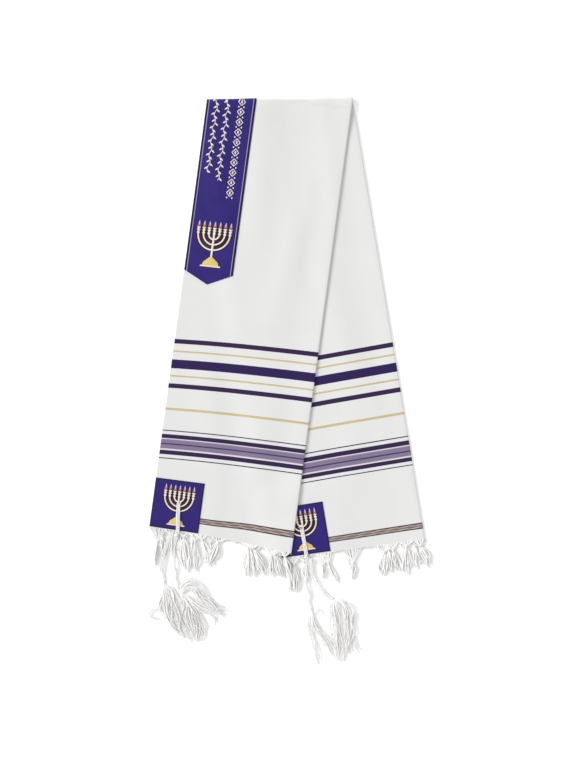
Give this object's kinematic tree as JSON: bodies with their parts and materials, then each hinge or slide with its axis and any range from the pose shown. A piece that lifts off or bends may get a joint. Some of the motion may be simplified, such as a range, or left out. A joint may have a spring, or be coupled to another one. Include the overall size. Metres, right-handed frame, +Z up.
{
  "type": "folded tallit prayer shawl",
  "caption": "White fringed prayer shawl with purple and gold woven stripes, purple neckband and corner patches, folded lengthwise and over at the neck, lying flat.",
  "frame": {"origin": "the middle of the shawl's and fringe's box, on the surface that the shawl lies on", "axes": "+Y towards the neck fold, along the folded shawl's length; +X to the right, seen from above with the neck fold at the top; +Z up from the surface, through the folded layers"},
  "size_m": [0.5526, 1.103, 0.01],
  "materials": {
    "cloth": "matt white plain weave with woven purple, lavender, gold and bronze stripes",
    "satin": "deep purple satin with a pale gold woven motif",
    "yarn": "soft white twisted yarn"
  },
  "bodies": {
    "root": {"shawl_front": "cloth", "shawl_back": "cloth", "neckband": "satin", "patch_front_upper": "satin", "patch_front_lower": "satin", "patch_back_upper": "satin", "patch_back_lower": "satin", "fringe_front": "yarn", "fringe_back": "yarn", "tzitzit_front_upper_cord": "yarn", "tzitzit_front_lower_cord": "yarn", "tzitzit_back_upper_cord": "yarn", "tzitzit_back_lower_cord": "yarn", "tzitzit_front_upper_tassel": "yarn", "tzitzit_front_lower_tassel": "yarn", "tzitzit_back_upper_tassel": "yarn", "tzitzit_back_lower_tassel": "yarn"}
  },
  "joints": []
}
